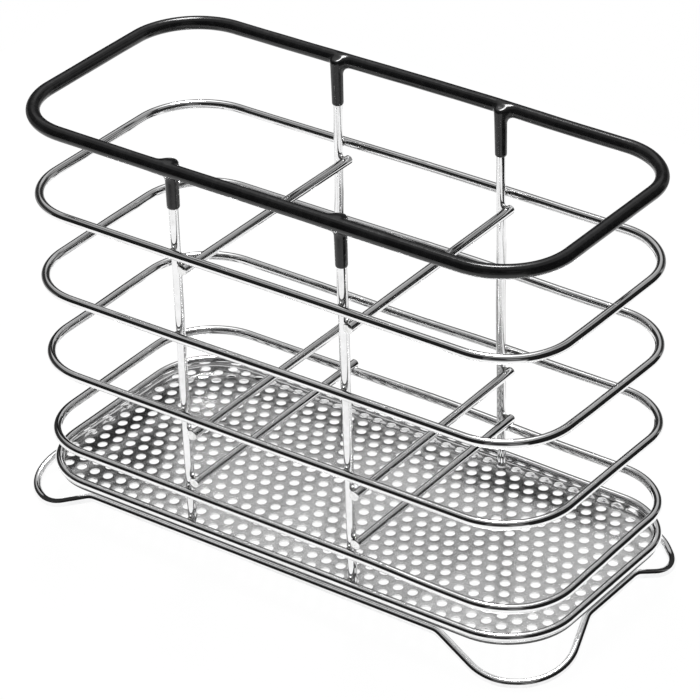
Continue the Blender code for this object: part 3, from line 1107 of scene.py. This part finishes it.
studio = {
    "tableHalf": (0.33, 0.29),
    "tableWhite": 0.90,
    "tableGlow": 0.975,
    "shadowShare": 0.04,
    "fill": 0.38,  # even light from all round
    "lampTowards": (323, 67),  # azimuth from +Y and elevation, in degrees
    "lampAims": (0.0, 0.0, 0.08),
    "lampDistance": 1.3,
    "lampSize": (0.24, 0.48),  # a tall softbox
    "lampPower": 11.0,
    "walls": 0.03,
    "ceiling": 0.30,
    "ceilingUp": (-0.105, 0.225, 1.0),  # the ceiling comes lower behind the object
    "ceilingFrom": 0.66,
    "ceilingTo": 0.70,
    "beyondTable": 0.25,
    "horizon": 0.02,  # how gradually the floor beyond the table begins
    # paler patches of the room: azimuth, elevation, full and faded radius in degrees, strength
    "ceilingPatch": (322, 32, 8, 30, 0.17),
    "patches": [
        (323, 67, 10, 22, 1.2),
        (38, 8, 14, 26, 0.28),
        (134, 24, 7, 12, 0.20),
        (172, 24, 3, 7, 0.15),
    ],
    # black cards that give bright metal its dark lines: two corners of each
    "cards": [
        ((-0.45, -0.29, 0.0), (0.10, -0.29, 0.46)),
        ((0.22, -0.10, 0.0), (0.22, 0.30, 0.26)),
        ((-0.24, 0.07, 0.06), (-0.186, 0.12, 0.17)),
        ((-0.045, 0.105, 0.0), (0.035, 0.105, 0.062)),
    ],
    "cardGrey": 0.012,
}


def towards(azimuth, elevation):
    azimuth, elevation = radians(azimuth), radians(elevation)
    return Vector((sin(azimuth) * cos(elevation), cos(azimuth) * cos(elevation), sin(elevation)))


def grey(value):
    return (value, value, value, 1.0)


def newStageMaterial(name):
    material = bpy.data.materials.new(name)
    material.use_nodes = True
    tree = material.node_tree
    tree.nodes.remove(tree.nodes["Principled BSDF"])
    return material, tree, addNode(tree, "ShaderNodeLightPath").outputs


def showBetween(tree, share, first, second):
    mixed = addNode(tree, "ShaderNodeMixShader", {0: share, 1: first, 2: second})
    setInputs(tree, tree.nodes["Material Output"], {"Surface": mixed})


def stagePlane(name, corners, material):
    mesh = bpy.data.meshes.new(name)
    mesh.from_pydata(corners, [], [(0, 1, 2, 3)])
    mesh.materials.append(material)
    plane = placeObject(name, mesh)


def makeTable():
    halfX, halfY = studio["tableHalf"]
    corners = [(-halfX, -halfY, 0), (halfX, -halfY, 0), (halfX, halfY, 0), (-halfX, halfY, 0)]
    material, tree, ray = newStageMaterial("paleTable")
    seen = addMath(tree, "MAXIMUM", ray["Is Camera Ray"], ray["Is Glossy Ray"])
    seenToo = addMath(tree, "MAXIMUM", seen, ray["Is Transmission Ray"])
    plain = addNode(tree, "ShaderNodeBsdfDiffuse", {"Color": grey(studio["tableWhite"])})
    shade = addNode(tree, "ShaderNodeBsdfDiffuse", {"Color": grey(studio["shadowShare"])})
    glow = addNode(tree, "ShaderNodeEmission", {"Strength": studio["tableGlow"]})
    showBetween(tree, seenToo, plain, addNode(tree, "ShaderNodeAddShader", {0: shade, 1: glow}))
    stagePlane("table", corners, material)


def makeCards():
    # seen only by reflections
    material, tree, ray = newStageMaterial("blackCard")
    clear = addNode(tree, "ShaderNodeBsdfTransparent")
    dark = addNode(tree, "ShaderNodeEmission", {"Color": grey(studio["cardGrey"]), "Strength": 1.0})
    showBetween(tree, ray["Is Glossy Ray"], clear, dark)
    for number, (low, high) in enumerate(studio["cards"]):
        corners = [low, (high[0], high[1], low[2]), high, (low[0], low[1], high[2])]
        stagePlane(f"blackCard{number + 1}", corners, material)


def makeWorld():
    # white behind the object; reflections see a grey ceiling, dark walls and a few paler patches
    world = bpy.data.worlds.new("studio")
    bpy.context.scene.world = world
    world.use_nodes = True
    tree = world.node_tree
    place = addNode(tree, "ShaderNodeTexCoord").outputs["Generated"]
    ray = addNode(tree, "ShaderNodeLightPath").outputs

    def alongDirection(direction, low, high, lowValue=0.0, highValue=1.0):
        # fades from one value to another as a ray turns towards a direction
        dot = addMath(tree, "DOT_PRODUCT", place, direction, "ShaderNodeVectorMath")
        values = {"From Min": low, "From Max": high, "To Min": lowValue, "To Max": highValue}
        values["Value"] = dot.outputs["Value"]
        return addNode(tree, "ShaderNodeMapRange", values, interpolation_type="SMOOTHSTEP")

    def patchOf(azimuth, elevation, full, faded, strength, base=0.0):
        low, high = cos(radians(faded)), cos(radians(full))
        return alongDirection(towards(azimuth, elevation), low, high, base, base + strength)

    def mixed(share, first, second):
        return addNode(tree, "ShaderNodeMix", {0: share, 2: first, 3: second}, data_type="FLOAT")

    inCeiling = alongDirection(studio["ceilingUp"], studio["ceilingFrom"], studio["ceilingTo"])
    patch = patchOf(*studio["ceilingPatch"], studio["ceiling"])
    room = addMath(tree, "MULTIPLY", inCeiling, patch)
    for patch in studio["patches"]:
        room = addMath(tree, "ADD", room, patchOf(*patch))
    room = addMath(tree, "ADD", room, studio["walls"])
    below = alongDirection((0.0, 0.0, -1.0), -studio["horizon"], studio["horizon"])
    mirrored = mixed(below, room, studio["beyondTable"])
    lit = mixed(ray["Is Glossy Ray"], studio["fill"], mirrored)
    seen = mixed(ray["Is Camera Ray"], lit, 1.0)
    setInputs(tree, tree.nodes["Background"], {"Color": grey(1.0), "Strength": seen})


def makeLamp():
    light = bpy.data.lights.new("softbox", "AREA")
    light.shape = "RECTANGLE"
    light.size, light.size_y = studio["lampSize"]
    light.energy = studio["lampPower"]
    lamp = placeObject("softbox", light)
    direction = towards(*studio["lampTowards"])
    lamp.location = Vector(studio["lampAims"]) + direction * studio["lampDistance"]
    lamp.rotation_euler = direction.to_track_quat("Z", "Y").to_euler()


photoCamera = {
    "azimuth": 37.0151,
    "elevation": 30.6168,
    "roll": -1.8862,
    "distance": 1.208816,
    "aside": 0.002597,
    "above": -0.066005,
    "focalPixels": 3867.56,
    "imagePixels": 700,
    "sensor": 36.0,
}


def makeCamera():
    azimuth = radians(photoCamera["azimuth"])
    elevation = radians(photoCamera["elevation"])
    roll = radians(photoCamera["roll"])
    back = Vector((sin(azimuth) * cos(elevation), -cos(azimuth) * cos(elevation), sin(elevation)))
    right = Vector((cos(azimuth), sin(azimuth), 0.0))
    up = back.cross(right)
    rolledRight = right * cos(roll) + up * sin(roll)
    rolledUp = up * cos(roll) - right * sin(roll)
    centre = middleAndHalf("rim_wire")[0] + back * photoCamera["distance"]
    centre += rolledRight * photoCamera["aside"] + rolledUp * photoCamera["above"]
    data = bpy.data.cameras.new("photoCamera")
    data.sensor_width = photoCamera["sensor"]
    data.lens = photoCamera["focalPixels"] * photoCamera["sensor"] / photoCamera["imagePixels"]
    camera = placeObject("photoCamera", data)
    axes = Matrix((rolledRight, rolledUp, back)).transposed()
    camera.matrix_world = Matrix.Translation(centre) @ axes.to_4x4()
    bpy.context.scene.camera = camera


makeTable()
makeCards()
makeWorld()
makeLamp()
makeCamera()
bpy.context.scene.view_settings.view_transform = "Standard"
print("table, light and camera placed")
